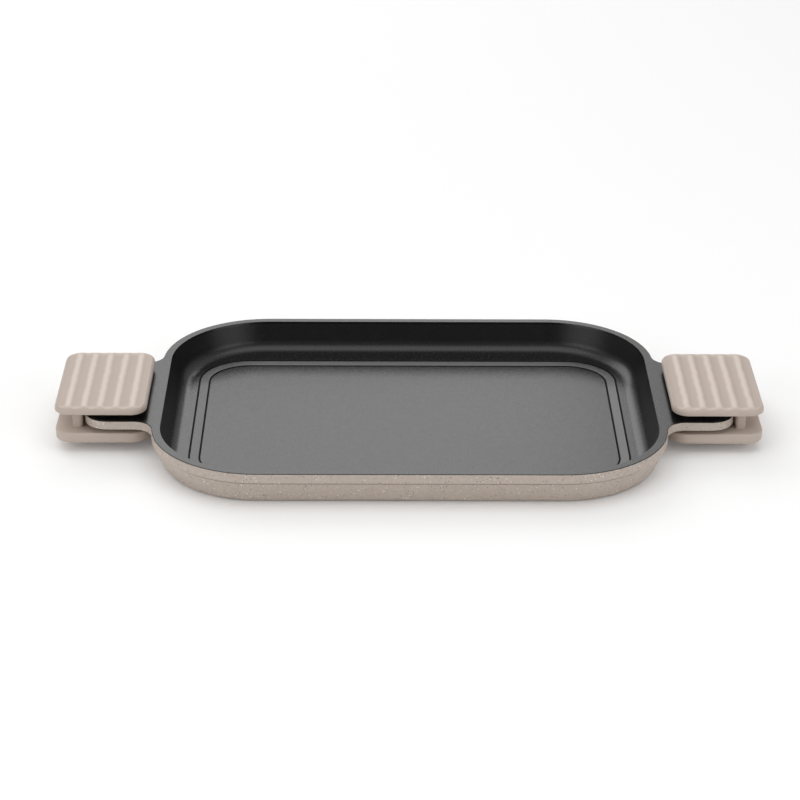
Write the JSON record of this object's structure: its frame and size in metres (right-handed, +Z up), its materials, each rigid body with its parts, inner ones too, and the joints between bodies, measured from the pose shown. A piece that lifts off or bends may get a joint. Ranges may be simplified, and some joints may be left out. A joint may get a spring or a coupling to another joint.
{
  "type": "griddle plate",
  "caption": "Shallow cast aluminium griddle plate with a dark non-stick inside, a pale speckled outside and ribbed silicone grips that slide onto its end tabs.",
  "frame": {"origin": "centre of the footprint, on the surface the plate stands on", "axes": "+X towards one grip, along the long side; +Y towards the back; +Z up"},
  "size_m": [0.498, 0.265, 0.0344],
  "materials": {
    "outer_coat": "satin",
    "cooking_coat": "matte",
    "base_steel": "brushed",
    "silicone": "matte"
  },
  "bodies": {
    "griddle": {"griddle_body": "outer_coat", "cooking_coat": "cooking_coat", "induction_base": "base_steel"},
    "left_grip_body": {"left_grip": "silicone"},
    "right_grip_body": {"right_grip": "silicone"}
  },
  "joints": [
    {"name": "left_grip_slide", "type": "slide", "parent": "griddle", "child": "left_grip_body", "axis": [-1, 0, 0], "range_m": [0, 0.06]},
    {"name": "right_grip_slide", "type": "slide", "parent": "griddle", "child": "right_grip_body", "axis": [1, 0, 0], "range_m": [0, 0.06]}
  ]
}
